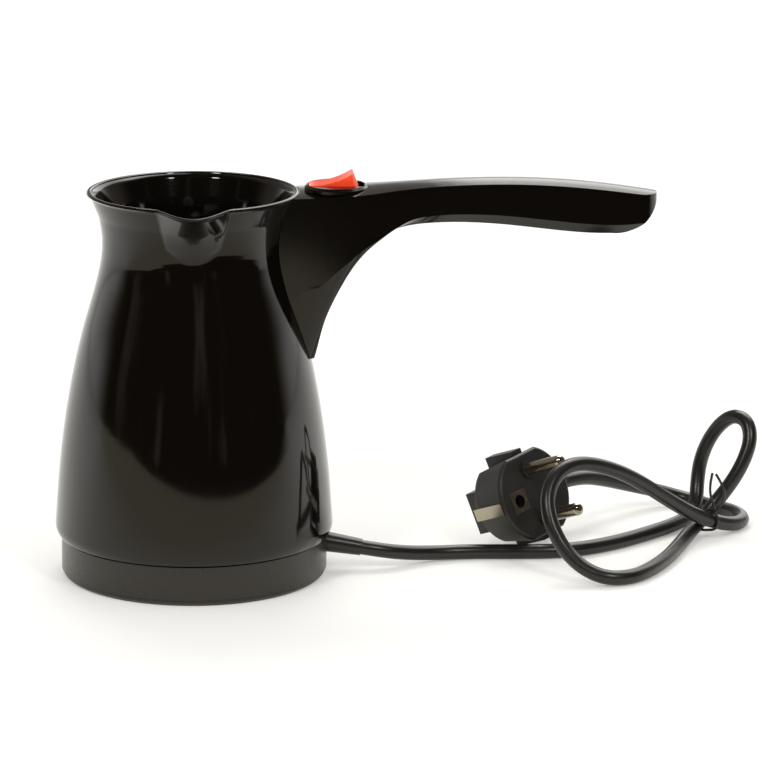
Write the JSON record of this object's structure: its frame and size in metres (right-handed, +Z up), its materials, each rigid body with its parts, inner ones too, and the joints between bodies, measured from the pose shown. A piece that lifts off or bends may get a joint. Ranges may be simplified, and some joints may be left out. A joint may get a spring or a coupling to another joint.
{
  "type": "electric turkish coffee maker",
  "caption": "Waisted black jug with a pouring spout on a heated base, a hollow side handle with a rocker switch on top, and a looped mains lead with an angled plug.",
  "frame": {"origin": "on the table under the jug, on the jug's axis", "axes": "+Z up, +X from the jug's axis along the handle, the spout points to -Y"},
  "size_m": [0.267, 0.1385, 0.1491],
  "materials": {
    "jug_plastic": "high gloss near-black moulded plastic",
    "base_plastic": "satin dark grey-black moulded plastic",
    "handle_plastic": "gloss near-black moulded plastic",
    "screw_steel": "plain zinc-plated steel",
    "stainless_plate": "spun stainless steel",
    "seal_silicone": "translucent white silicone",
    "pressed_steel": "pressed zinc-plated steel",
    "spreader_aluminium": "cast aluminium",
    "element_steel": "dull grey metal sheath",
    "phenolic_black": "matt black phenolic",
    "glass_fibre_sleeve": "white braided glass fibre",
    "terminal_nylon": "natural white nylon",
    "terminal_brass": "plain brass",
    "core_insulation": "smooth coloured vinyl",
    "cord_vinyl": "satin dark grey-black vinyl",
    "tie_vinyl": "black plastic-coated tie wire",
    "plug_vinyl": "fine-textured dark grey-black vinyl",
    "plated_pin": "nickel-plated brass",
    "switch_nylon": "black nylon with a light sheen",
    "rocker_red": "translucent orange-red plastic",
    "lamp_glass": "clear glass of a small neon lamp"
  },
  "bodies": {
    "root": {"jug_shell": "jug_plastic", "base_cap": "base_plastic", "base_screws": "screw_steel", "heating_plate": "stainless_plate", "plate_seal": "seal_silicone", "clamp_ring": "pressed_steel", "clamp_ring_screws": "screw_steel", "heat_spreader": "spreader_aluminium", "heating_element": "element_steel", "thermostat": "phenolic_black", "thermostat_screws": "screw_steel", "thermal_fuse": "spreader_aluminium", "fuse_sleeve": "glass_fibre_sleeve", "fuse_strap": "pressed_steel", "terminal_block": "terminal_nylon", "terminal_screws": "terminal_brass", "cord_clamp": "terminal_nylon", "cord_clamp_screws": "screw_steel", "cord_bush": "cord_vinyl", "cord_tail": "cord_vinyl", "supply_cores": "core_insulation", "switch_leads": "core_insulation", "handle_shell": "handle_plastic", "handle_top_cover": "handle_plastic", "handle_lower_cover": "handle_plastic", "handle_screws": "screw_steel", "switch_housing": "switch_nylon", "switch_blades": "terminal_brass", "supply_cord": "cord_vinyl", "plug_body": "plug_vinyl", "plug_pins": "plated_pin", "plug_earth_clips": "plated_pin", "cord_tie": "tie_vinyl", "neon_lamp": "lamp_glass", "heater_leads": "core_insulation", "earth_lead": "core_insulation", "duct_grommet": "seal_silicone"},
    "rocker": {"switch_rocker": "rocker_red", "switch_plunger": "terminal_nylon", "plunger_spring": "screw_steel"},
    "contact_bar": {"switch_contact": "terminal_brass"}
  },
  "joints": [
    {"name": "rocker_tilt", "type": "hinge", "parent": "root", "child": "rocker", "pos_m": [0.0516, 0, 0.1401], "axis": [0, 1, 0], "range_deg": [0, 32]},
    {"name": "contact_tilt", "type": "hinge", "parent": "root", "child": "contact_bar", "pos_m": [0.0516, 0, 0.13165], "axis": [0, 1, 0], "range_deg": [-16, 0]}
  ],
  "couplings": [
    {"joint": "contact_tilt", "follows": "rocker_tilt", "ratio": -0.5}
  ]
}
